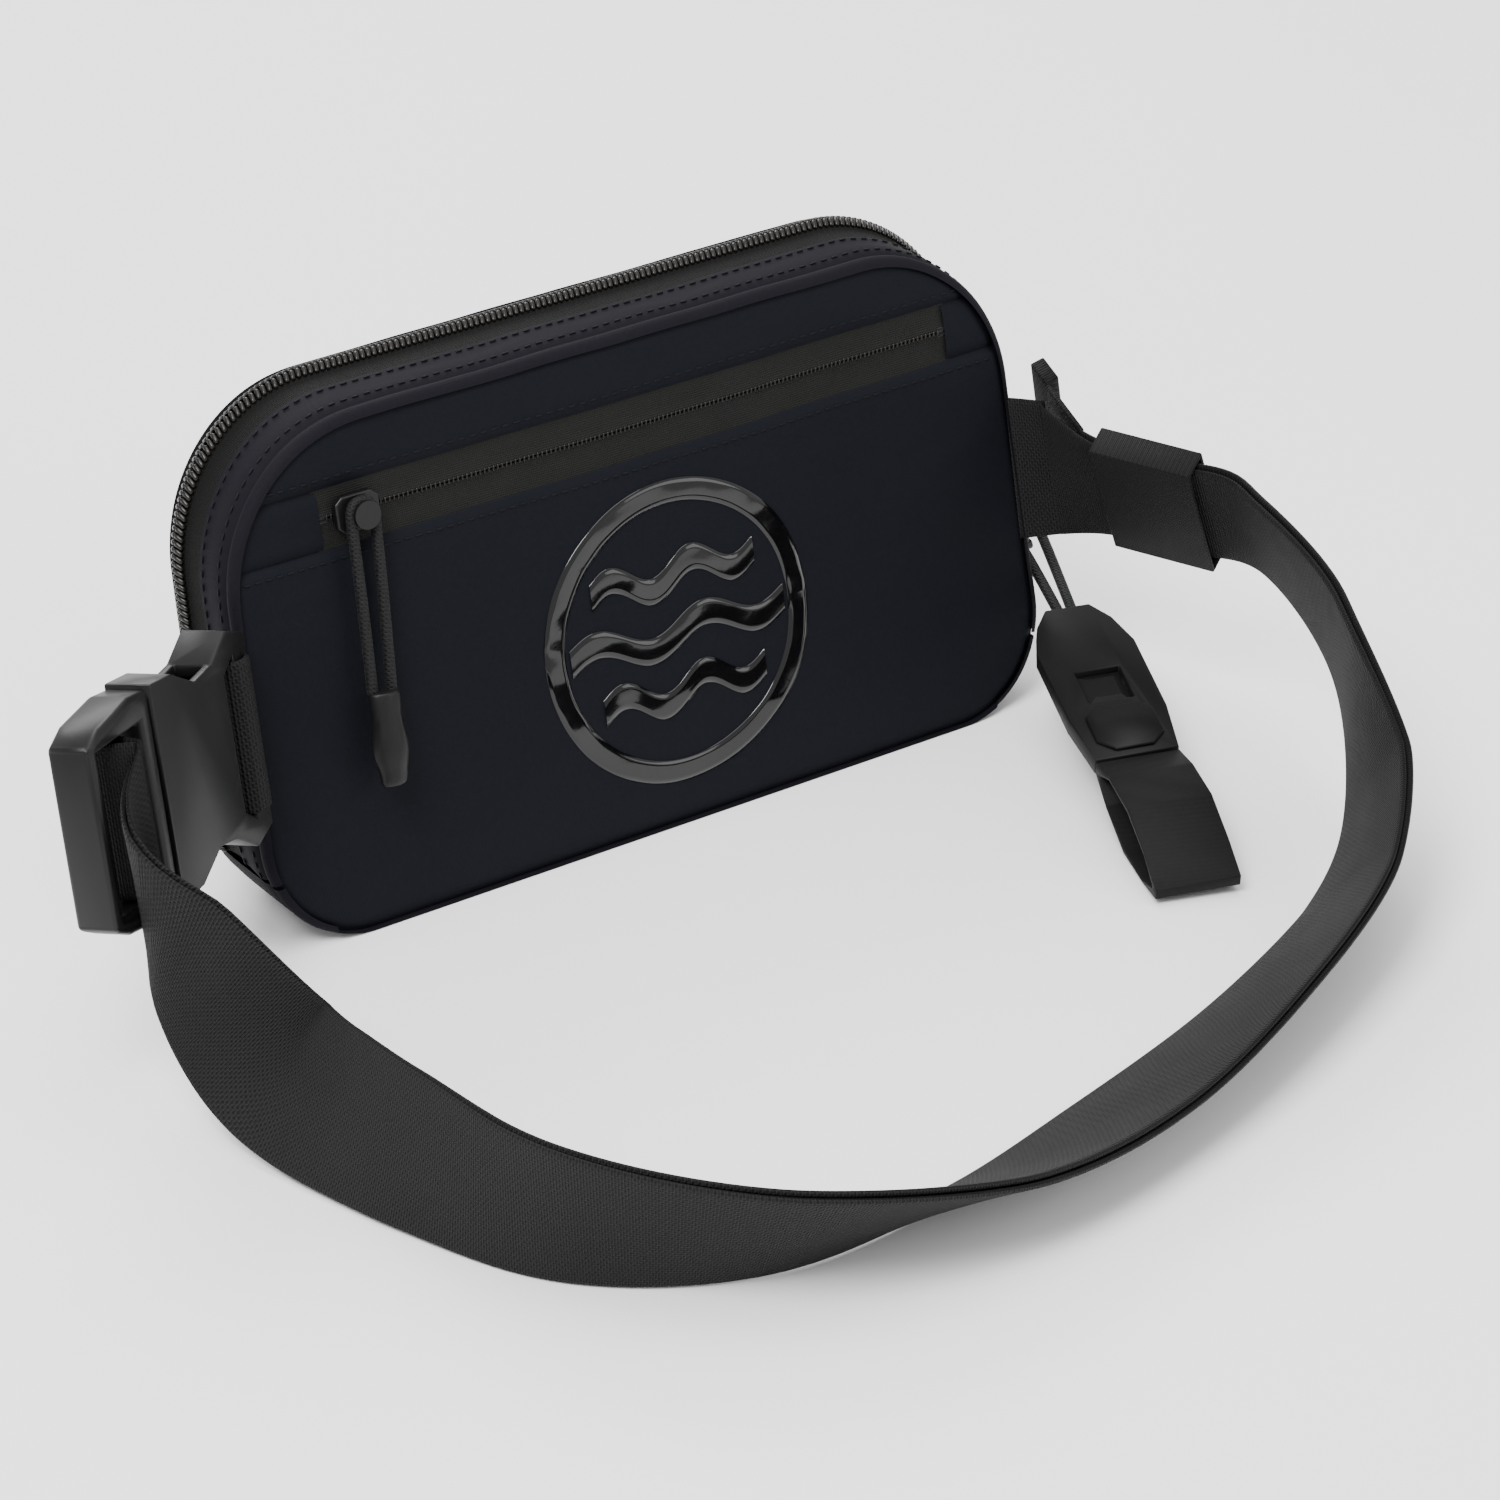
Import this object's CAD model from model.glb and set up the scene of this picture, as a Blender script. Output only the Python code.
import math

import bmesh
import bpy
from mathutils import Matrix, Vector, noise


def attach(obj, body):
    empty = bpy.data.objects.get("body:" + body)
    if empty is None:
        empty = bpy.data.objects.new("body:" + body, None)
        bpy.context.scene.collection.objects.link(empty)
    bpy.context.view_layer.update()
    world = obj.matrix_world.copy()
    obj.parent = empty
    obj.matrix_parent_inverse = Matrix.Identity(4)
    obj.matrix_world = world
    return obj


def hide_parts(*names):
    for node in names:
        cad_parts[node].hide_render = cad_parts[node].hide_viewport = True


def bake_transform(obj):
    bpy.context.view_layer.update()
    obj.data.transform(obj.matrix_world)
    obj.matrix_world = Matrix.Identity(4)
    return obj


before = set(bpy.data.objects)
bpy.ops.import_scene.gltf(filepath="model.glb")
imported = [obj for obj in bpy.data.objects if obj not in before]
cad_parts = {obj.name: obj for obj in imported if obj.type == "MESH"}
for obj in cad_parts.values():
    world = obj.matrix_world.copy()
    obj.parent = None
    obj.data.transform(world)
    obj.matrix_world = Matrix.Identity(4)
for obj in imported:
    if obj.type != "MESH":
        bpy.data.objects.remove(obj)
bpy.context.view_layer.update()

# A waist pack, in metres. "Leaning" places are X, distance behind the front face, distance up it.

MM = 0.001
LEAN = math.radians(12.35)
FRONT_FOOT = 30.0
HALF_WIDTH = 115.5
HEIGHT = 124.3
TAPER = 3.4
TOP_RADIUS = 40.0
FOOT_RADIUS = 27.0
HEAD_INSET = 8.0
FOOT_INSET = 2.0
COIL_BEHIND = 23.1
GUSSET_FOOT = 18.0
POCKET_LOW = 96.0
POCKET_HIGH = 111.0
POCKET_LEFT = -87.0
POCKET_RIGHT = 96.0
POCKET_LINE = 104.0
WEB_WIDTH = 38.0
WEB_WALL = 1.5
WEB_GAP = 0.4


# ---------------------------------------------------------------- node material helpers

class Shader:
    """A principled material with short calls for the nodes that feed it."""

    def __init__(self, name, colour, roughness, sheen=0.0, coat=0.0, shine=0.5):
        self.material = bpy.data.materials.new(name)
        self.material.use_nodes = True
        self.nodes = self.material.node_tree.nodes
        self.links = self.material.node_tree.links
        self.base = self.nodes["Principled BSDF"]
        self.base.inputs["Base Color"].default_value = (*colour, 1)
        self.base.inputs["Roughness"].default_value = roughness
        self.base.inputs["Sheen Weight"].default_value = sheen
        self.base.inputs["Sheen Roughness"].default_value = 0.4
        self.base.inputs["Coat Weight"].default_value = coat
        self.base.inputs["Specular IOR Level"].default_value = shine
        self.colour = colour
        self.height = None

    def add(self, kind, **values):
        made = self.nodes.new(kind)
        for field, value in values.items():
            setattr(made, field, value)
        return made

    def join(self, source, target):
        self.links.new(source, target)

    def place(self, scale=(1, 1, 1), use_uv=False, turn=(0, 0, 0)):
        coordinates = self.add("ShaderNodeTexCoord")
        mapping = self.add("ShaderNodeMapping")
        mapping.inputs["Scale"].default_value = scale
        mapping.inputs["Rotation"].default_value = turn
        self.join(coordinates.outputs["UV" if use_uv else "Object"], mapping.inputs["Vector"])
        return mapping.outputs["Vector"]

    def noise(self, vector, scale, detail=4.0, rough=0.55):
        made = self.add("ShaderNodeTexNoise")
        made.inputs["Scale"].default_value = scale
        made.inputs["Detail"].default_value = detail
        made.inputs["Roughness"].default_value = rough
        self.join(vector, made.inputs["Vector"])
        return made.outputs["Fac"]

    def wave(self, vector, scale, direction="X"):
        made = self.add("ShaderNodeTexWave", bands_direction=direction, wave_profile="SIN")
        made.inputs["Scale"].default_value = scale
        made.inputs["Distortion"].default_value = 0
        made.inputs["Detail"].default_value = 0
        self.join(vector, made.inputs["Vector"])
        return made.outputs["Fac"]

    def math(self, operation, first, second=None):
        made = self.add("ShaderNodeMath", operation=operation)
        for socket, value in zip(made.inputs, (first, second)):
            if value is None:
                continue
            if isinstance(value, (int, float)):
                socket.default_value = value
            else:
                self.join(value, socket)
        return made.outputs[0]

    def ramp(self, factor, low, high):
        """Runs from low to high as factor goes from 0 to 1."""
        made = self.add("ShaderNodeMapRange")
        made.inputs["To Min"].default_value = low
        made.inputs["To Max"].default_value = high
        self.join(factor, made.inputs["Value"])
        return made.outputs["Result"]

    def tint(self, factor, dark, light):
        """Colours the surface between two brightnesses of its own colour."""
        made = self.add("ShaderNodeMix", data_type="RGBA")
        made.inputs["A"].default_value = (*[c * dark for c in self.colour], 1)
        made.inputs["B"].default_value = (*[c * light for c in self.colour], 1)
        self.join(factor, made.inputs["Factor"])
        self.join(made.outputs["Result"], self.base.inputs["Base Color"])

    def bump(self, height, strength, distance):
        made = self.add("ShaderNodeBump")
        made.inputs["Strength"].default_value = strength
        made.inputs["Distance"].default_value = distance
        self.join(height, made.inputs["Height"])
        if self.height:
            self.join(self.height, made.inputs["Normal"])
        self.height = made.outputs["Normal"]
        self.join(self.height, self.base.inputs["Normal"])

    def rough(self, factor, low, high):
        self.join(self.ramp(factor, low, high), self.base.inputs["Roughness"])


def woven(name, colour, thread, roughness=0.72, sheen=0.10, depth=0.00006, mottle=0.25):
    """Fine plain weave: crossed threads, a slow mottle and faint lint."""
    shader = Shader(name, colour, roughness, sheen, shine=0.08)
    where = shader.place()
    per_metre = 1 / thread / 6.2832 * 3.1416
    weft = shader.wave(where, per_metre, "X")
    warp = shader.wave(where, per_metre, "Z")
    cloth = shader.math("MULTIPLY", weft, warp)
    fuzz = shader.noise(where, 900, 3)
    cloud = shader.noise(where, 26, 4)
    grain = shader.math("ADD", shader.math("MULTIPLY", cloth, 0.45), shader.math("MULTIPLY", fuzz, 0.55))
    shade = shader.math("ADD", shader.math("MULTIPLY", grain, 1 - mottle),
                        shader.math("MULTIPLY", cloud, mottle))
    shader.tint(shade, 0.62, 1.5)
    shader.rough(cloud, roughness - 0.07, roughness + 0.09)
    shader.bump(grain, 0.55, depth)
    return shader.material


BEAD = 0.0013
TWILL = 0.0016


def webbing(name, colour, rib=0.0011, strength=1.0):
    """Heavy webbing in UV metres: ribs across the web, each broken into twill beads."""
    shader = Shader(name, colour, 0.62, 0.01, shine=0.09)
    where = shader.place(use_uv=True)
    cross = shader.wave(where, 1 / rib / 2, "X")
    beads = shader.wave(where, 1 / BEAD / 2, "Y")
    skew = shader.place(use_uv=True, turn=(0, 0, math.radians(38)))
    twill = shader.wave(skew, 1 / TWILL / 2, "X")
    wear = shader.noise(where, 55, 5)
    fluff = shader.noise(where, 1600, 2)
    weave = shader.math("ADD", shader.math("MULTIPLY", cross, 0.5), shader.math("MULTIPLY", twill, 0.3))
    weave = shader.math("ADD", weave, shader.math("MULTIPLY", beads, 0.2))
    shade = shader.math("ADD", shader.math("MULTIPLY", weave, 0.62), shader.math("MULTIPLY", wear, 0.26))
    shade = shader.math("ADD", shade, shader.math("MULTIPLY", fluff, 0.14))
    shader.tint(shade, 0.10, 3.0)
    shader.rough(wear, 0.52, 0.74)
    shader.bump(weave, strength, 0.00055)
    return shader.material


def ribbed_tape(name, colour):
    """Zipper tape: fine cords along the zip crossed by dotted stitches."""
    shader = Shader(name, colour, 0.66, 0.01, shine=0.10)
    where = shader.place(use_uv=True)
    cords = shader.wave(where, 1 / 0.0009 / 2, "Y")
    dots = shader.wave(where, 1 / 0.0008 / 2, "X")
    knit = shader.math("MULTIPLY", cords, dots)
    cloud = shader.noise(where, 60, 4)
    shade = shader.math("ADD", shader.math("MULTIPLY", knit, 0.7), shader.math("MULTIPLY", cloud, 0.3))
    shader.tint(shade, 0.45, 1.9)
    shader.rough(cloud, 0.58, 0.76)
    shader.bump(knit, 0.9, 0.00022)
    return shader.material


def moulded(name, colour, low, high, grain=1400, strength=0.35, depth=0.00004, coat=0.0, shine=0.3):
    """Moulded plastic or rubber: fine spark texture, soft smudges and rubbed high spots."""
    shader = Shader(name, colour, low, coat=coat, shine=shine)
    where = shader.place()
    fine = shader.noise(where, grain, 3, 0.6)
    smudge = shader.noise(where, 70, 5)
    scuff = shader.noise(shader.place(scale=(1, 6, 1)), 160, 6, 0.7)
    shade = shader.math("ADD", shader.math("MULTIPLY", smudge, 0.6), shader.math("MULTIPLY", scuff, 0.4))
    shader.tint(shade, 0.7, 1.45)
    shader.rough(shade, low, high)
    shader.bump(fine, strength, depth)
    return shader.material


def braided(name, colour, pitch):
    """Braided cord: two crossing sets of diagonal bundles."""
    shader = Shader(name, colour, 0.55, 0.03, shine=0.15)
    one = shader.wave(shader.place(turn=(0, 0, math.radians(35))), 1 / pitch / 2, "DIAGONAL")
    two = shader.wave(shader.place(turn=(0, 0, math.radians(-35))), 1 / pitch / 2, "DIAGONAL")
    braid = shader.math("MAXIMUM", one, two)
    lint = shader.noise(shader.place(), 700, 3)
    shade = shader.math("ADD", shader.math("MULTIPLY", braid, 0.7), shader.math("MULTIPLY", lint, 0.3))
    shader.tint(shade, 0.4, 2.1)
    shader.rough(lint, 0.45, 0.7)
    shader.bump(braid, 0.8, 0.0002)
    return shader.material


SHELL = woven("shell_weave", (0.0046, 0.0053, 0.0082), 0.0006, 0.70, 0.008)
GUSSET = woven("gusset_weave", (0.0062, 0.0058, 0.0086), 0.0005, 0.74, 0.006)
LINING = woven("lining_weave", (0.045, 0.045, 0.050), 0.0008, 0.8, 0.02)
PADDING = woven("padding_knit", (0.010, 0.010, 0.011), 0.0016, 0.85, 0.03, 0.0003)
WEB = webbing("belt_weave", (0.0088, 0.0088, 0.0088))
WEB_INSIDE = webbing("belt_weave_inner", (0.0045, 0.0045, 0.0045), 0.0011, 0.8)
TAB_WEB = webbing("tab_weave", (0.0065, 0.0065, 0.0068), 0.0014, 1.0)
ELASTIC = webbing("keeper_knit", (0.0060, 0.0060, 0.0060), 0.0008, 0.5)
TAPE = ribbed_tape("zip_tape_knit", (0.0058, 0.0054, 0.0052))
POCKET_TAPE = ribbed_tape("pocket_tape_knit", (0.0125, 0.0125, 0.0118))
COIL = moulded("coil_nylon", (0.0050, 0.0040, 0.0032), 0.24, 0.38, 900, 0.2, shine=0.34)
PLASTIC = moulded("buckle_acetal", (0.0050, 0.0050, 0.0052), 0.32, 0.46, 1800, 0.4, shine=0.22)
METAL = moulded("slider_enamel", (0.0045, 0.0045, 0.0048), 0.24, 0.4, 1000, 0.15, shine=0.28)
RUBBER = moulded("pull_rubber", (0.0052, 0.0052, 0.0054), 0.46, 0.62, 1500, 0.4, shine=0.16)
SHRINK = moulded("knob_sleeve", (0.0062, 0.0062, 0.0062), 0.34, 0.5, 420, 0.5, 0.00015, shine=0.22)
STRAP = woven("loop_tape", (0.0105, 0.0105, 0.0105), 0.0009, 0.6, 0.01, 0.0001)
GLOSS = moulded("emblem_print", (0.0020, 0.0020, 0.0024), 0.06, 0.14, 260, 0.25, 0.00012, coat=0.2,
                shine=0.36)
CORD = braided("cord_braid", (0.0062, 0.0062, 0.0065), 0.0011)
THREAD = moulded("seam_thread", (0.0060, 0.0060, 0.0080), 0.5, 0.7, 2500, 0.6, shine=0.1)


# ---------------------------------------------------------------- mesh helpers

def build(name, points, faces, material, body, uvs=None, smooth=True):
    """A mesh object on a body, or on none yet, with one UV pair for each point when given."""
    mesh = bpy.data.meshes.new(name)
    mesh.from_pydata([tuple(p) for p in points], [], faces)
    mesh.validate()
    if uvs:
        layer = mesh.uv_layers.new(name="UVMap")
        for loop in mesh.loops:
            layer.data[loop.index].uv = uvs[loop.vertex_index]
    piece = bpy.data.objects.new(name, mesh)
    bpy.context.scene.collection.objects.link(piece)
    mesh.materials.append(material)
    if smooth:
        mesh.shade_smooth()
    outward(mesh)
    if body:
        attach(piece, body)
    return piece


def outward(mesh):
    """Turns the faces of a mesh to one side, outwards where it is closed."""
    made = bmesh.new()
    made.from_mesh(mesh)
    bmesh.ops.recalc_face_normals(made, faces=made.faces)
    made.to_mesh(mesh)
    made.free()


def grid_faces(rows, columns, wrap=False):
    """Quads of a grid of rows by columns, whose columns may close on themselves."""
    faces = []
    last = columns if wrap else columns - 1
    for row in range(rows - 1):
        for column in range(last):
            side = (column + 1) % columns
            faces.append((row * columns + column, row * columns + side,
                          (row + 1) * columns + side, (row + 1) * columns + column))
    return faces


def leaning(x, behind, up):
    """A place given across, behind the front face and up it, in millimetres, as metres in the frame."""
    y = -FRONT_FOOT + behind * math.cos(LEAN) + up * math.sin(LEAN)
    z = -behind * math.sin(LEAN) + up * math.cos(LEAN)
    return Vector((x, y, z)) * MM


def at_height(x, behind, z):
    """A place given across, behind the front face and above the floor."""
    y = -FRONT_FOOT + behind / math.cos(LEAN) + z * math.tan(LEAN)
    return Vector((x, y, z)) * MM


def outline(count, inset=0.0, head_inset=0.0, foot_inset=0.0):
    """The bag's rounded outline as count + 1 pairs (x, z) with their outward normals, from the left
    foot over the top to the right foot and back along the bottom."""
    top = HEIGHT - inset - head_inset
    low = inset + foot_inset / 2
    foot = HALF_WIDTH - inset - foot_inset
    head = HALF_WIDTH - TAPER - inset - head_inset
    corners = [(-foot, low, FOOT_RADIUS), (-head, top, TOP_RADIUS), (head, top, TOP_RADIUS),
               (foot, low, FOOT_RADIUS)]
    spans = []
    for index, (x, z, radius) in enumerate(corners):
        radius = max(radius - inset, 2.0)
        corner = Vector((x, z))
        before = (Vector(corners[index - 1][:2]) - corner).normalized()
        after = (Vector(corners[(index + 1) % 4][:2]) - corner).normalized()
        half = before.angle(after) / 2
        centre = corner + (before + after).normalized() * radius / math.sin(half)
        enter = corner + before * radius / math.tan(half)
        leave = corner + after * radius / math.tan(half)
        spans.append((centre, radius, enter, leave))
    points = []
    for index, (centre, radius, enter, leave) in enumerate(spans):
        first = math.atan2(*(enter - centre).yx)
        last = math.atan2(*(leave - centre).yx)
        if last > first:
            last -= 2 * math.pi
        steps = max(4, int((first - last) * radius / 1.2))
        for step in range(steps + 1):
            angle = first + (last - first) * step / steps
            way = Vector((math.cos(angle), math.sin(angle)))
            points.append((centre + way * radius, way))
        ahead = spans[(index + 1) % 4][2]
        run = ahead - leave
        normal = Vector((-run.y, run.x)).normalized()
        straight = max(2, int(run.length / 2.0))
        for step in range(1, straight):
            points.append((leave + run * step / straight, normal))
    return resample(points, count)


def resample(points, count):
    """Even spacing round a closed list of (place, normal)."""
    closed = points + points[:1]
    lengths = [0.0]
    for one, two in zip(closed, closed[1:]):
        lengths.append(lengths[-1] + (two[0] - one[0]).length)
    result = []
    index = 0
    for step in range(count):
        target = lengths[-1] * step / count
        while lengths[index + 1] < target:
            index += 1
        part = (target - lengths[index]) / max(lengths[index + 1] - lengths[index], 1e-9)
        place = closed[index][0].lerp(closed[index + 1][0], part)
        normal = closed[index][1].lerp(closed[index + 1][1], part).normalized()
        result.append((place, normal, target))
    return result


def sag(place, amount, size=30.0, seed=0.0):
    """A slow wrinkle value at a place in millimetres."""
    return noise.noise(Vector((place[0] / size + seed, place[1] / size, place[2] / size))) * amount


def band(name, profile, material, body, low=None, high=None, count=520, wrinkle=0.35,
         head_inset=0.0, foot_inset=0.0, seed=0.0):
    """A strip round the outline: profile lists (behind, outward, share of the far insets)."""
    ring = [item for item in outline(count)]
    far = [item for item in outline(count, 0.0, head_inset, foot_inset)]
    keep = [i for i, item in enumerate(ring)
            if (low is None or item[0].y >= low) and (high is None or item[0].y <= high)]
    start = next((k for k in range(len(keep)) if keep[k] != (keep[k - 1] + 1) % count), 0)
    keep = keep[start:] + keep[:start]
    points = []
    uvs = []
    for behind, out, share in profile:
        for number, index in enumerate(keep):
            place = ring[index][0].lerp(far[index][0], share)
            normal = ring[index][1]
            soft = sag((place.x, behind, place.y), wrinkle, 24, seed)
            flat = 0.0 if place.y > 2.5 else 1.0
            spot = place + normal * (out + soft) * (1 - flat * 0.9)
            points.append(at_height(spot.x, behind, max(spot.y, 0.05)))
            uvs.append((number * ring[-1][2] / count * MM, behind * MM))
    return build(name, points, grid_faces(len(profile), len(keep)), material, body, uvs)


def capsules(name, ends, radius, material, body, flat=1.0, sides=6):
    """Many small rounded rods, each between two points, in one mesh."""
    points = []
    faces = []
    stations = ((0.0, 0.35), (0.12, 0.85), (0.3, 1.0), (0.7, 1.0), (0.88, 0.85), (1.0, 0.35))
    for one, two, up in ends:
        ahead = two - one
        side = ahead.cross(up).normalized()
        rise = side.cross(ahead).normalized()
        first = len(points)
        for along, swell in stations:
            for index in range(sides):
                angle = 2 * math.pi * index / sides
                offset = side * math.cos(angle) + rise * math.sin(angle) * flat
                points.append(one + ahead * along + offset * radius * swell)
        for row, column, side_of, below in grid_faces(len(stations), sides, True):
            faces.append((first + row, first + column, first + side_of, first + below))
        faces.append(tuple(first + index for index in range(sides)))
        faces.append(tuple(first + (len(stations) - 1) * sides + index for index in range(sides)))
    return build(name, points, faces, material, body)


def softened(name, node, material, body, slot, width, segments=3):
    """A copy of a hard CAD node with its edges rounded, standing for the node."""
    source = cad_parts[node]
    mesh = source.data.copy()
    mesh.name = name
    made = bmesh.new()
    made.from_mesh(mesh)
    bmesh.ops.remove_doubles(made, verts=made.verts, dist=0.00002)
    bmesh.ops.dissolve_limit(made, angle_limit=math.radians(2), verts=made.verts, edges=made.edges)
    made.to_mesh(mesh)
    made.free()
    piece = bpy.data.objects.new(name, mesh)
    piece.matrix_world = source.matrix_world.copy()
    bpy.context.scene.collection.objects.link(piece)
    mesh.materials.clear()
    mesh.materials.append(material)
    rounding = piece.modifiers.new("round", "BEVEL")
    rounding.width = width
    rounding.segments = segments
    rounding.limit_method = "ANGLE"
    rounding.angle_limit = math.radians(24)
    rounding.harden_normals = True
    apply_modifiers(piece)
    piece.data.shade_smooth()
    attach(piece, body)
    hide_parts(node)
    return piece


def apply_modifiers(piece):
    graph = bpy.context.evaluated_depsgraph_get()
    mesh = bpy.data.meshes.new_from_object(piece.evaluated_get(graph))
    piece.modifiers.clear()
    piece.data = mesh


def give(material, *nodes):
    """Assigns a material to CAD nodes that stay as they are."""
    for node in nodes:
        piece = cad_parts[node]
        piece.data.materials.clear()
        piece.data.materials.append(material)


# ---------------------------------------------------------------- camera, light and floor

CAMERA_PLACE = (-0.6946, -1.0753, 0.7377)
CAMERA_RIGHT = Vector((0.8250, -0.5652, 0.0))
CAMERA_UP = Vector((0.2802, 0.4090, 0.8685))
CAMERA_LENS = 139.75


def stand_camera():
    data = bpy.data.cameras.new("camera")
    data.lens = CAMERA_LENS
    data.sensor_width = 36
    camera = bpy.data.objects.new("camera", data)
    turn = Matrix((CAMERA_RIGHT, CAMERA_UP, CAMERA_RIGHT.cross(CAMERA_UP))).transposed()
    camera.matrix_world = Matrix.Translation(CAMERA_PLACE) @ turn.to_4x4()
    bpy.context.scene.collection.objects.link(camera)
    bpy.context.scene.camera = camera


def area_light(name, place, size, power):
    data = bpy.data.lights.new(name, "AREA")
    data.size = size
    data.energy = power
    light = bpy.data.objects.new(name, data)
    light.location = place
    light.rotation_euler = (-Vector(place)).to_track_quat("-Z", "Y").to_euler()
    bpy.context.scene.collection.objects.link(light)


def light_studio():
    area_light("key", (-0.9, -0.5, 1.5), 0.7, 34)
    area_light("fill", (1.1, -1.3, 0.9), 1.0, 9)
    area_light("rim", (0.3, 1.2, 1.0), 0.8, 16)
    area_light("over", (0.0, -0.1, 1.8), 1.2, 16)
    world = bpy.data.worlds.new("studio")
    world.use_nodes = True
    world.node_tree.nodes["Background"].inputs["Color"].default_value = (1, 1, 1, 1)
    world.node_tree.nodes["Background"].inputs["Strength"].default_value = 1.0
    bpy.context.scene.world = world


def lay_floor():
    shader = Shader("floor_paper", (0.96, 0.96, 0.96), 0.9)
    shader.tint(shader.noise(shader.place(), 3, 2), 0.98, 1.02)
    mesh = bpy.data.meshes.new("floor")
    mesh.from_pydata([(-4, -4, 0), (4, -4, 0), (4, 4, 0), (-4, 4, 0)], [], [(0, 1, 2, 3)])
    mesh.materials.append(shader.material)
    floor = bpy.data.objects.new("floor", mesh)
    bpy.context.scene.collection.objects.link(floor)


stand_camera()
light_studio()
lay_floor()


# ---------------------------------------------------------------- the bag's soft shell

def half_width_at(up):
    """Half the front panel's width at a distance up it, from the same rounded outline."""
    z = min(max(up * math.cos(LEAN), 0.02), HEIGHT - 0.02)
    best = 0.0
    for one, two in zip(FRONT_RING, FRONT_RING[1:] + FRONT_RING[:1]):
        low, high = sorted((one[0], two[0]), key=lambda place: place.y)
        if low.y <= z <= high.y and high.y > low.y:
            best = max(best, abs(low.x + (high.x - low.x) * (z - low.y) / (high.y - low.y)))
    return best


FRONT_RING = outline(900)
CORNERS = [item[0] for item in FRONT_RING[::6]]
FRONT_EDGES = [(one, two - one) for one, two in zip(CORNERS, CORNERS[1:] + CORNERS[:1])]
PUFF = 3.0


def edge_distance(x, up):
    """How far a place on the front is from the panel's rounded edge, in millimetres."""
    spot = Vector((x, up * math.cos(LEAN)))
    best = 1000.0
    for low, run in FRONT_EDGES:
        part = min(max((spot - low).dot(run) / run.length_squared, 0), 1)
        best = min(best, (low + run * part - spot).length_squared)
    return math.sqrt(best)


def front_out(x, up):
    """How far the front fabric stands out of the flat front face."""
    away = edge_distance(x, up)
    crown = PUFF * (1 - math.exp(-away / 22))
    roll = -1.3 * math.exp(-(away / 1.6) ** 2)
    middle = 1.6 * math.cos(math.pi * min(abs(x) / 130, 0.5)) * math.sin(math.pi * min(max(up / 127, 0), 1))
    folds = sag((x, up, 0), 0.9, 34, 3.7) + sag((x, up * 2.2, 5), 0.25, 11, 8.1)
    return crown * 0.5 + roll + middle + folds * min(away / 12, 1)


def front_strip(name, low, high, material, left=None, right=None, lips=(0, 0), depth=0.0):
    """Front fabric between two distances up the face, with its lower and upper edge turned in."""
    rows = max(6, int((high - low) / 1.6))
    columns = 150 if left is None and right is None else 30
    points = []
    uvs = []
    for row in range(rows + 1):
        part = row / rows
        up = low + (high - low) * part
        reach = half_width_at(up)
        start = -reach if left is None else left
        end = reach if right is None else right
        edge = 0.0
        if lips[0]:
            edge += lips[0] * math.exp(-((up - low) / 1.0) ** 2)
        if lips[1]:
            edge += lips[1] * math.exp(-((high - up) / 1.0) ** 2)
        for column in range(columns + 1):
            u = -math.cos(math.pi * column / columns) if columns == 150 else 2 * column / columns - 1
            x = (start + end) / 2 + (end - start) / 2 * u
            out = front_out(x, up) - edge + depth
            points.append(leaning(x, -out, up))
            uvs.append((x * MM, up * MM))
    return build(name, points, grid_faces(rows + 1, columns + 1), material, "bag_front", uvs)


def make_front():
    lower = front_strip("front_fabric_lower", 0.4, POCKET_LOW + 0.2, SHELL, lips=(0, 1.4))
    upper = front_strip("front_fabric_upper", POCKET_HIGH - 0.2, 127.0, SHELL, lips=(1.4, 0))
    left = front_strip("front_fabric_end_left", POCKET_LOW, POCKET_HIGH, SHELL,
                       None, POCKET_LEFT, (1, 1), -0.5)
    right = front_strip("front_fabric_end_right", POCKET_LOW, POCKET_HIGH, SHELL,
                        POCKET_RIGHT, None, (1, 1), -0.5)
    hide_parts("front_panel_lower")
    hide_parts("front_panel_upper")
    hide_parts("zip_end_left")
    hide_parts("zip_end_right")


def tape_strip(name, low, high, node):
    """One side of the pocket zipper's tape, sunk between the two turned edges of the fabric."""
    rows = 8
    columns = 120
    points = []
    uvs = []
    for row in range(rows + 1):
        up = low + (high - low) * row / rows
        for column in range(columns + 1):
            x = POCKET_LEFT - 1 + (POCKET_RIGHT - POCKET_LEFT + 2) * column / columns
            near_line = math.exp(-((up - POCKET_LINE) / 1.3) ** 2)
            points.append(leaning(x, -(front_out(x, up) - 1.25 + 0.55 * near_line), up))
            uvs.append((x * MM, up * MM))
    piece = build(name, points, grid_faces(rows + 1, columns + 1), POCKET_TAPE, "bag_front", uvs)
    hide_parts(node)


def make_pocket_zip():
    tape_strip("pocket_zip_tape_lower", POCKET_LOW - 1, POCKET_LINE - 0.25, "pocket_tape_lower")
    tape_strip("pocket_zip_tape_upper", POCKET_LINE + 0.25, POCKET_HIGH + 1, "pocket_tape_upper")
    teeth = []
    x = POCKET_LEFT + 2
    while x < POCKET_RIGHT - 2:
        out = front_out(x, POCKET_LINE) - 0.75
        teeth.append((leaning(x, -out, POCKET_LINE - 0.75), leaning(x + 0.25, -out, POCKET_LINE + 0.75),
                      Vector((0, -1, 0))))
        x += 1.25
    coil = capsules("pocket_zip_teeth", teeth, 0.32 * MM, COIL, "bag_front")
    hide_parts("pocket_coil")


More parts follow.
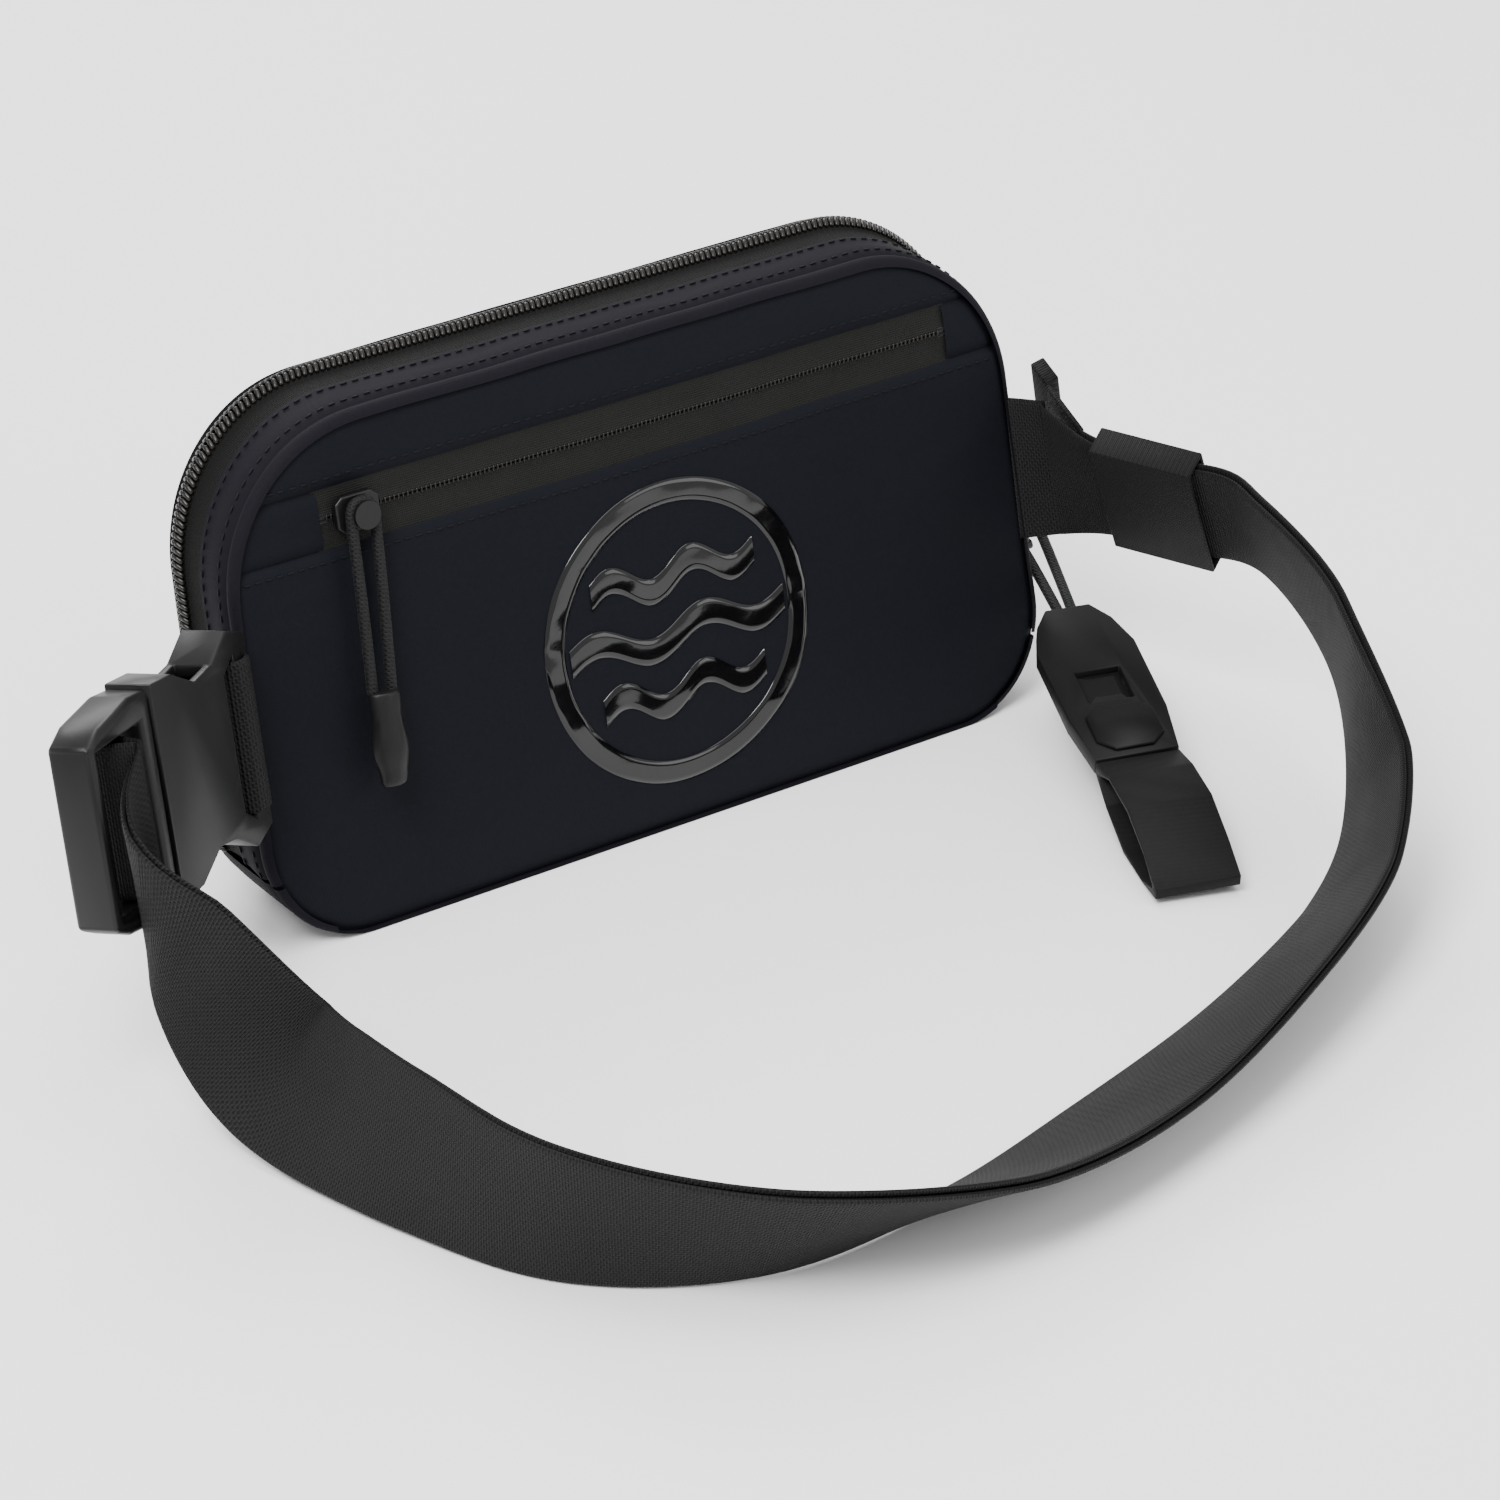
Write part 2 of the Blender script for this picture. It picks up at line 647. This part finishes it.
GUSSET_PROFILE = [(-0.9, -1.6, 0), (-0.75, -0.7, 0), (-0.1, 0.15, 0), (0.9, 0.55, 0), (2.0, 0.35, 0),
                  (2.7, -0.25, 0), (3.0, -0.5, 0), (3.4, -0.1, 0), (4.4, 0.55, 0), (6.5, 0.8, 0),
                  (9.0, 0.65, 0), (11.5, 0.45, 0), (13.0, 0.5, 0), (14.2, 0.55, 0), (14.7, 0.2, 0),
                  (14.75, -0.7, 0)]
BACK_PROFILE = [(28.2, -0.8, 0.0), (28.25, 0.5, 0.0), (29.2, 0.7, 0.12), (31.0, 0.7, 0.35),
                (33.0, 0.6, 0.6),
                (34.6, 0.2, 0.85), (35.6, -0.6, 1.0), (36.0, -2.0, 1.0)]
FOOT_PROFILE = [(-0.9, -1.6, 0), (-0.75, -0.7, 0), (-0.1, 0.1, 0), (0.9, 0.5, 0), (2.0, 0.3, 0),
                (2.7, -0.2, 0), (3.0, -0.4, 0), (3.4, 0, 0), (5, 0.6, 0), (10, 0.7, 0), (16, 0.8, 0),
                (22, 0.8, 0), (28, 0.6, 0),
                (31, 0.4, 0.3), (34.6, 0.0, 0.9), (35.6, -0.8, 1.0), (36.0, -1.6, 1.0)]


def make_gussets():
    front = band("gusset_front_fabric", GUSSET_PROFILE, GUSSET, "bag_front",
                 low=GUSSET_FOOT - 0.5)
    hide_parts("front_gusset")
    back = band("gusset_back_fabric", BACK_PROFILE, GUSSET, "back_shell",
                low=GUSSET_FOOT + 0.4, head_inset=HEAD_INSET, foot_inset=FOOT_INSET)
    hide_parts("back_gusset")
    foot = band("gusset_foot_fabric", FOOT_PROFILE, GUSSET, "bag_front", high=GUSSET_FOOT,
                head_inset=HEAD_INSET, foot_inset=FOOT_INSET, seed=5.0)
    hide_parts("bottom_gusset")


def make_back():
    """Back panel: padded mesh with a sewn border, crowned a little."""
    ring = outline(260, 0.0, HEAD_INSET, FOOT_INSET)
    centre = Vector((0, 60))
    levels = [(1.0, 34.6), (0.992, 35.6), (0.975, 36.3), (0.95, 36.4), (0.93, 36.0), (0.91, 36.6),
              (0.86, 37.5)]
    levels += [(share, 37.9 + 0.3 * (1 - share)) for share in (0.7, 0.5, 0.3, 0.12, 0.02)]
    points = []
    uvs = []
    for share, behind in levels:
        for place, _, _ in ring:
            spot = centre.lerp(place, share)
            puffed = behind + sag((spot.x, spot.y, 9), 0.5 * (1 - share), 26, 2.2)
            points.append(at_height(spot.x, puffed, max(spot.y, 3.0)))
            uvs.append((spot.x * MM, spot.y * MM))
    faces = grid_faces(len(levels), len(ring), True)
    faces.append(tuple((len(levels) - 1) * len(ring) + index for index in range(len(ring))))
    piece = build("back_padding", points, faces, PADDING, "back_shell", uvs)
    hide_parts("back_panel")


COIL_TURNS = 400
TURN_RADIUS = 0.72 * MM


def coil_teeth(name, behind, lean_back, body, node):
    """One half of the main zipper's coil: slanted nylon turns that stand out of the edge."""
    ring = outline(COIL_TURNS)
    turns = []
    for place, normal, _ in ring:
        if place.y < GUSSET_FOOT + 0.4:
            continue
        low = at_height(place.x + normal.x * 1.0, behind - 2.2 * lean_back, place.y + normal.y * 1.0)
        tangent = Vector((normal.y, 0, -normal.x)) * 1.0 * MM
        crest = place + normal * 2.2
        high = at_height(crest.x, behind + 0.05 * lean_back, crest.y) + tangent
        turns.append((low, high, Vector((normal.x, 0, normal.y))))
    piece = capsules(name, turns, TURN_RADIUS, COIL, body, 0.9, 8)
    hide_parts(node)


FRONT_TAPE_PROFILE = [(14.2, -0.3, 0), (15.0, -0.2, 0), (18.0, 0.0, 0), (20.4, 0.3, 0), (21.6, 1.0, 0),
                      (22.7, 1.1, 0)]
BACK_TAPE_PROFILE = [(23.5, 1.1, 0), (24.6, 1.0, 0), (25.8, 0.3, 0), (27.0, 0.1, 0), (28.6, 0.0, 0)]


def make_main_zip():
    coil_teeth("main_zip_turns_front", COIL_BEHIND - 0.1, 1, "bag_front", "main_coil_front")
    coil_teeth("main_zip_turns_back", COIL_BEHIND + 0.1, -1, "back_shell", "main_coil_back")
    front = band("main_zip_cloth_front", FRONT_TAPE_PROFILE, TAPE, "bag_front",
                 low=GUSSET_FOOT, wrinkle=0.1)
    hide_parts("main_tape_front")
    back = band("main_zip_cloth_back", BACK_TAPE_PROFILE, TAPE, "back_shell",
                low=GUSSET_FOOT + 0.4, wrinkle=0.1)
    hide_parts("main_tape_back")


STITCH_PITCH = 2.9
STITCH_LENGTH = 1.9


def stitch_run(places, pitch, length, lift=0.12):
    """Stitches along a list of (point, outward) pairs."""
    runs = []
    since = pitch
    for (one, up), (two, _) in zip(places, places[1:]):
        since += (two - one).length
        if since >= pitch * MM:
            ahead = (two - one).normalized() * length * MM
            raised = up * lift * MM
            runs.append((one + raised, one + raised + ahead, up))
            since = 0.0
    return runs


def make_seams():
    runs = []
    for behind, out in ((5.0, 0.75), (12.6, 0.62)):
        places = []
        for place, normal, _ in outline(1400):
            if place.y > GUSSET_FOOT:
                spot = place + normal * (out + sag((place.x, behind, place.y), 0.35, 24, 0.0))
                places.append((at_height(spot.x, behind, spot.y), Vector((normal.x, 0, normal.y))))
        runs += stitch_run(places[1:], STITCH_PITCH, STITCH_LENGTH)
    for up in (POCKET_HIGH + 2.6, POCKET_LOW - 2.4):
        reach = half_width_at(up) - 3
        places = []
        for step in range(900):
            x = -reach + 2 * reach * step / 899
            places.append((leaning(x, -front_out(x, up), up), leaning(0, -1, 0) - leaning(0, 0, 0)))
        places = [(place, out.normalized()) for place, out in places]
        runs += stitch_run(places, STITCH_PITCH, STITCH_LENGTH, 0.05)
    capsules("seam_stitches", runs, 0.26 * MM, THREAD, "bag_front")


# share of the half width, and height over the fabric
EMBLEM_PROFILE = [(-1, -0.2), (-0.96, 0.28), (-0.5, 0.34), (0, 0.36), (0.5, 0.34), (0.96, 0.28), (1, -0.2)]
EMBLEM_RADIUS = 39.0
RIM_WIDTH = 6
WAVE_WIDTH = 7


def make_emblem():
    """The printed mark: a rim and three waves that follow the front fabric."""
    centre_x, centre_up = 6.0, 50.0

    def strip(name, node, path, width):
        points = []
        for x, up, side_x, side_up in path:
            for share, rise in EMBLEM_PROFILE:
                px = x + side_x * share * width / 2
                pu = up + side_up * share * width / 2
                points.append(leaning(px, -(front_out(px, pu) + rise), pu))
        faces = grid_faces(len(path), len(EMBLEM_PROFILE))
        piece = build(name, points, faces, GLOSS, "bag_front")
        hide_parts(node)

    middle = EMBLEM_RADIUS - RIM_WIDTH / 2
    rim = []
    for step in range(161):
        angle = 2 * math.pi * step / 160
        rim.append((centre_x + middle * math.cos(angle), centre_up + middle * math.sin(angle),
                    math.cos(angle), math.sin(angle)))
    strip("emblem_mark_rim", "emblem_rim", rim, RIM_WIDTH)
    for index, level in enumerate((-15, 0, 15)):
        reach = math.sqrt((EMBLEM_RADIUS - 6.5) ** 2 - (abs(level) + 7) ** 2)
        path = []
        for step in range(81):
            x = -reach + 2 * reach * step / 80
            lift = 3 * math.sin(2 * math.pi * step / 40)
            path.append((centre_x + x, centre_up + level + lift, 0.0, 1.0))
        strip(f"emblem_mark_wave_{index + 1}", f"emblem_wave_{index + 1}", path, WAVE_WIDTH)


# ---------------------------------------------------------------- belt

# bottom edge of the doubled belt: x, y, height, and how far its top leans out, in degrees
STATIONS = [
    (-169, -70, 25, -22),
    (-165, -96, 4, -33),
    (-151, -143, 0, -13),
    (-130, -182, 0, 8),
    (-92, -204, 0, 32),
    (-46, -203, 0, 57),
    (0, -192, 0, 64),
    (50, -177, 0, 54),
    (96, -157, 1, 42),
    (126, -138, 10, 22),
    (147, -108, 30, -10),
    (151, -74, 45, -28),
    (141, -54, 46, -28),
    (131, -35, 46, -26),
    (122, -25, 44, 0),
]
BUCKLE_TURN = math.radians(213)
BAR_AT = 58.4
BUCKLE_START = leaning(-119.5, -4, 62) / MM
PANEL_UP = (leaning(0, 0, 1) - leaning(0, 0, 0)) / MM
BUCKLE_AXIS = (leaning(math.cos(BUCKLE_TURN), math.sin(BUCKLE_TURN), 0) - leaning(0, 0, 0)) / MM
BUCKLE_FACE = BUCKLE_AXIS.cross(PANEL_UP)
BAR = BUCKLE_START + BUCKLE_AXIS * BAR_AT
SPANS = 14
PACK = WEB_WALL + WEB_GAP / 2


def between(points, index, part):
    """Catmull-Rom value of a list of vectors between two stations."""
    last = len(points) - 1
    before = points[max(index - 1, 0)]
    near = points[index]
    far = points[index + 1]
    after = points[min(index + 2, last)]
    return (near * 2 + (far - before) * part + (before * 2 - near * 5 + far * 4 - after) * part ** 2
            + (near * 3 - before - far * 3 + after) * part ** 3) * 0.5


def belt_frames():
    """Bottom point, way up the web, and outward normal at every section, in millimetres."""
    foot = BAR - PANEL_UP * WEB_WIDTH / 2 - BUCKLE_FACE * 9.2
    edge = [foot] + [Vector(item[:3]) for item in STATIONS]
    leans = [Vector((0, 0, 0))] + [Vector((item[3], 0, 0)) for item in STATIONS]
    points = []
    angles = []
    for index in range(len(edge) - 1):
        for step in range(SPANS):
            points.append(between(edge, index, step / SPANS))
            angles.append(math.radians(between(leans, index, step / SPANS).x))
    points.append(edge[-1])
    angles.append(math.radians(STATIONS[-1][3]))
    frames = []
    for index, point in enumerate(points):
        ahead = (points[min(index + 1, len(points) - 1)] - points[max(index - 1, 0)]).normalized()
        outside = ahead.cross(Vector((0, 0, 1))).normalized()
        upward = outside.cross(ahead)
        across = upward * math.cos(angles[index]) + outside * math.sin(angles[index])
        hold = max(0.0, 1 - index / (2 * SPANS))
        hold = hold * hold * (3 - 2 * hold)
        across = (across * (1 - hold) + PANEL_UP * hold).normalized()
        normal = ahead.cross(across).normalized()
        lift = 0.2 + PACK * abs(normal.z)
        point = point + Vector((0, 0, max(lift - point.z, 0)))
        frames.append((point, across, normal))
    return frames


def web(name, frames, low, high, material, body, columns=16):
    """A web between two distances from the middle surface, with rounded selvages and UV in metres."""
    shape = [(0.0, 0.5), (0.010, 0.86)]
    shape += [(0.03 + 0.94 * i / columns, 1.0) for i in range(columns + 1)]
    shape += [(0.990, 0.86), (1.0, 0.5), (0.990, 0.14)]
    shape += [(0.97 - 0.94 * i / columns, 0.0) for i in range(columns + 1)]
    shape += [(0.010, 0.14)]
    points = []
    uvs = []
    run = 0.0
    previous = None
    for point, across, normal in frames:
        if previous is not None:
            run += (point + across * 19 - previous).length
        previous = point + across * 19
        for along, depth in shape:
            height = WEB_WIDTH * along
            cup = sag((run * 0.4, height * 0.3, 1), 0.35, 16, low)
            out = low + (high - low) * depth + cup * (1 - abs(2 * along - 1))
            place = point + across * height + normal * out
            points.append(Vector((place.x, place.y, max(place.z, 0.05))) * MM)
            uvs.append((run * MM, (height + (0 if depth > 0.3 else 60)) * MM))
    faces = grid_faces(len(frames), len(shape), True)
    faces.append(tuple(range(len(shape))))
    faces.append(tuple((len(frames) - 1) * len(shape) + i for i in range(len(shape))))
    piece = build(name, points, faces, material, body, uvs)
    return piece


def keeper_index(frames):
    """The belt's frame in the middle of the elastic keeper."""
    return len(frames) - 1 - 2 * SPANS + SPANS // 4


def make_belt():
    frames = belt_frames()
    keeper = keeper_index(frames)
    outer = web("belt_web_outer", frames[:keeper + SPANS], WEB_GAP / 2, PACK, WEB, None)
    inner = web("belt_web_inner", frames, -PACK, -WEB_GAP / 2, WEB, None)
    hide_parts("belt_outer_layer")
    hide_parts("belt_inner_layer")
    far = Vector(frames[3 * SPANS][0]) * MM
    for piece in (outer, inner):
        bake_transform(piece)
    return frames


def make_roll():
    """The turn of webbing round the buckle's bar, with a leg towards each layer of the belt."""
    mid = 3.1
    path = [(0.95, -9.2), (1.6, -6.8), (2.4, -4.2), (2.95, -1.8)]
    path += [(mid * math.cos(a), mid * math.sin(a)) for a in [math.pi * i / 12 for i in range(13)]]
    path += [(-2.95, -1.8), (-2.4, -4.2), (-1.6, -6.8), (-0.95, -9.2)]
    frames = []
    for index, (along, face) in enumerate(path):
        before = Vector(path[max(index - 1, 0)])
        after = Vector(path[min(index + 1, len(path) - 1)])
        run = (after - before).normalized()
        normal = BUCKLE_AXIS * run.y - BUCKLE_FACE * run.x
        point = BAR + BUCKLE_AXIS * along + BUCKLE_FACE * face - PANEL_UP * WEB_WIDTH / 2
        frames.append((point, PANEL_UP, normal))
    roll = web("belt_web_roll", frames, -0.75, 0.75, WEB_INSIDE, "buckle_male")
    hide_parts("belt_roll")


# ---------------------------------------------------------------- buckle, keeper and tabs

def lay_uv(piece, origin, along, across):
    """UV in metres along two directions, for webbing that has no run of its own."""
    layer = piece.data.uv_layers.new(name="UVMap")
    piece.data.uv_layers.active = layer
    for loop in piece.data.loops:
        spot = piece.data.vertices[loop.vertex_index].co - origin
        layer.data[loop.index].uv = (spot.dot(along), spot.dot(across))


def make_buckle():
    softened("buckle_socket_body", "buckle_female", PLASTIC, "bag_front", "buckle_plastic", 1.4 * MM, 4)
    softened("buckle_ladder_body", "buckle_frame", PLASTIC, "buckle_male", "buckle_plastic", 1.5 * MM, 4)
    softened("buckle_guide_body", "buckle_guide", PLASTIC, "buckle_male", "buckle_plastic", 0.6 * MM)
    softened("buckle_prong_top", "prong_upper", PLASTIC, "prong_top", "buckle_plastic", 0.9 * MM)
    softened("buckle_prong_bottom", "prong_lower", PLASTIC, "prong_bottom", "buckle_plastic", 0.9 * MM)
    give(PLASTIC, "buckle_bar")


TAIL_WAY = Vector((0.04, 0.86, 0.34))


def make_tabs():
    pairs = [("buckle_tab_web", "buckle_tab", BUCKLE_AXIS, PANEL_UP, TAB_WEB, "webbing"),
             ("belt_tail_web", "belt_tail", TAIL_WAY, PANEL_UP, WEB_INSIDE, "webbing"),
             ("belt_tail_fold", "belt_tail_hem", TAIL_WAY, PANEL_UP, WEB_INSIDE, "webbing")]
    for name, node, along, across, material, slot in pairs:
        piece = softened(name, node, material, "bag_front", slot, 0.5 * MM, 2)
        lay_uv(piece, Vector((0, 0, 0)), along.normalized(), across)


def make_anchor(frames):
    """The sewn end of the belt, from its last free turn into the seam at the bag's right edge."""
    seam = leaning(112.6, 0.6, 44) / MM
    end, across, normal = frames[-1]
    end = end - normal * PACK / 2
    stations = []
    for step in range(-1, 9):
        part = max(step, -0.6) / 8
        stations.append((end.lerp(seam, part), across.lerp(PANEL_UP, max(part, 0)).normalized()))
    turned = []
    for index, (point, side) in enumerate(stations):
        ahead = stations[min(index + 1, 9)][0] - stations[max(index - 1, 0)][0]
        turned.append((point, side, ahead.normalized().cross(side).normalized()))
    patch = web("belt_anchor_web", turned, -0.75, 0.75, WEB, "bag_front")
    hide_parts("belt_anchor")


def make_tab_wrap():
    """Webbing of the tab where it turns round the fixed bar of the buckle's female half."""
    path = [(-3.5, -1.4), (-1.0, -3.6), (0.8, -6.9), (3.6, -7.4), (6.0, -6.9), (6.9, -4.0), (6.9, 0.0)]
    frames = []
    for index, (along, face) in enumerate(path):
        before = Vector(path[max(index - 1, 0)])
        after = Vector(path[min(index + 1, len(path) - 1)])
        run = (after - before).normalized()
        normal = BUCKLE_AXIS * run.y - BUCKLE_FACE * run.x
        point = BUCKLE_START + BUCKLE_AXIS * along + BUCKLE_FACE * face - PANEL_UP * WEB_WIDTH / 2
        frames.append((point, PANEL_UP, normal))
    web("buckle_tab_wrap", frames, -0.6, 0.6, TAB_WEB, "bag_front")


def make_keeper(frames):
    piece = softened("keeper_sleeve", "belt_keeper", ELASTIC, "keeper", "elastic", 0.7 * MM, 3)
    index = keeper_index(frames)
    ahead = (frames[index + 1][0] - frames[index - 1][0]).normalized()
    lay_uv(piece, frames[index][0] * MM, ahead, frames[index][1])


# ---------------------------------------------------------------- zipper pulls

def pull_frame(origin, along, across):
    """A function that turns places along, across and off a pull, in millimetres, into the frame."""
    ahead = along.normalized()
    normal = ahead.cross(across).normalized()
    side = normal.cross(ahead)

    def spot(x, y, z):
        return (origin + ahead * x + side * y + normal * z) * MM

    return spot


def hairpin(reach, gap, back, end_gap):
    """A doubled cord: down one side, round the pin, and back up the other."""
    middle = (gap + end_gap) / 2
    return [(reach, -end_gap, 0), (reach / 2, -middle, 0.4), (5, -gap, 0), (-back, -gap, 0),
            (-back, gap, 0), (5.2, gap, 0), (reach / 2 + 1, middle, 0.4), (reach, end_gap, 0)]


CORD_DIAMETER = 2.8 * MM


def cord(name, route, body, node):
    """A round braided cord on one NURBS spline through its route's control points."""
    data = bpy.data.curves.new(name, "CURVE")
    data.dimensions = "3D"
    spline = data.splines.new("NURBS")
    spline.points.add(len(route) - 1)
    for point, place in zip(spline.points, route):
        point.co = (*place, 1)
    spline.order_u = 3
    spline.use_endpoint_u = True
    spline.resolution_u = 16
    data.bevel_depth = CORD_DIAMETER / 2
    data.bevel_resolution = 5
    data.materials.append(CORD)
    piece = bpy.data.objects.new(name, data)
    bpy.context.scene.collection.objects.link(piece)
    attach(piece, body)
    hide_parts(node)
    length = sum((two - one).length for one, two in zip(route, route[1:]))
    tuple(route[0])
    return piece


POCKET_X = -77.5
POCKET_PIN = leaning(POCKET_X, -4.56, POCKET_LINE) / MM
POCKET_WAY = (leaning(-0.06, -0.03, -1) - leaning(0, 0, 0)) / MM
POCKET_SPOT = pull_frame(POCKET_PIN, POCKET_WAY, Vector((1, 0, 0)))
SLIDER_UP = 39.0
SLIDER_SIDE = HALF_WIDTH - TAPER * SLIDER_UP / 127 + 2.6 + 1.8
LOOP_AT = leaning(SLIDER_SIDE, COIL_BEHIND - 0.6, SLIDER_UP) / MM + Vector((10.21, 0, 0))
MAIN_SPOT = pull_frame(LOOP_AT, Vector((84, -133, 3.4)) - LOOP_AT, Vector((1, 0, 0.1)))


def knob_shape(name, spot, node):
    """A heat-shrunk sleeve over the knotted end of a cord: a lumpy, flattened tube."""
    stations = [(43.6, 3.3, 2.2), (44.0, 3.9, 2.7), (47.5, 4.1, 2.8), (50.5, 3.7, 2.6), (53.5, 4.4, 3.1),
                (57.0, 5.1, 3.2), (60.5, 4.7, 2.9), (63.0, 3.7, 2.5), (65.5, 3.6, 2.3), (67.0, 3.3, 2.0),
                (67.2, 2.2, 1.3)]
    sides = 28
    points = []
    for along, wide, thick in stations:
        for index in range(sides):
            angle = 2 * math.pi * index / sides
            bump = 1 + 0.10 * noise.noise(Vector((along / 4, math.cos(angle) * 1.5, math.sin(angle) * 1.5)))
            points.append(spot(along, wide * math.cos(angle) * bump, 1.0 + thick * math.sin(angle) * bump))
    faces = grid_faces(len(stations), sides, True)
    faces.append(tuple(range(sides)))
    faces.append(tuple((len(stations) - 1) * sides + i for i in range(sides)))
    piece = build(name, points, faces, SHRINK, "pocket_pull")
    smooth = piece.modifiers.new("smooth", "SUBSURF")
    smooth.levels = 2
    smooth.render_levels = 2
    apply_modifiers(piece)
    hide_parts(node)
    return piece


def make_pulls():
    knob = knob_shape("pocket_pull_sleeve", POCKET_SPOT, "pocket_pull_knob")
    route = [POCKET_SPOT(*point) for point in hairpin(44, 3.2, 3.0, 2.6)]
    cord("pocket_pull_line", route, "pocket_pull", "pocket_pull_cord")
    route = [MAIN_SPOT(*point) for point in hairpin(38, 3.4, 3.1, 1.7)]
    cord("main_pull_line", route, "main_pull", "main_pull_cord")
    softened("main_pull_grip_body", "main_pull_grip", RUBBER, "main_pull", "pull_rubber", 0.9 * MM, 3)
    well = [(62.4, -5.6), (62.4, 5.6), (73.6, 5.6), (73.6, -5.6)]
    points = [MAIN_SPOT(x, y, z) for z in (-1.5, 0.6) for x, y in well]
    points += [MAIN_SPOT(68 + (x - 68) * 0.62, y * 0.62, 1.5) for x, y in well]
    faces = [(0, 1, 2, 3), (8, 9, 10, 11)]
    for low in (0, 4):
        for i in range(4):
            side = (i + 1) % 4
            faces.append((low + i, low + side, low + 4 + side, low + 4 + i))
    build("main_pull_window", points, faces, RUBBER, "main_pull", smooth=False)
    softened("main_pull_patch_body", "main_pull_patch", RUBBER, "main_pull", "pull_rubber", 0.4 * MM, 2)
    softened("main_pull_loop_band", "main_pull_loop", STRAP, "main_pull", "pull_strap", 0.4 * MM, 2)


def dress_cad():
    give(LINING, "pocket_lining", "gusset_lining", "back_lining", "back_foam")
    give(METAL, "pocket_stop_left", "pocket_stop_right", "pocket_slider", "pocket_bail")
    give(METAL, "main_slider", "main_bail")


make_front()
make_pocket_zip()
make_gussets()
make_back()
make_main_zip()
make_seams()
make_emblem()
BELT = make_belt()
make_roll()
make_buckle()
make_tabs()
make_anchor(BELT)
make_tab_wrap()
make_keeper(BELT)
make_pulls()
dress_cad()
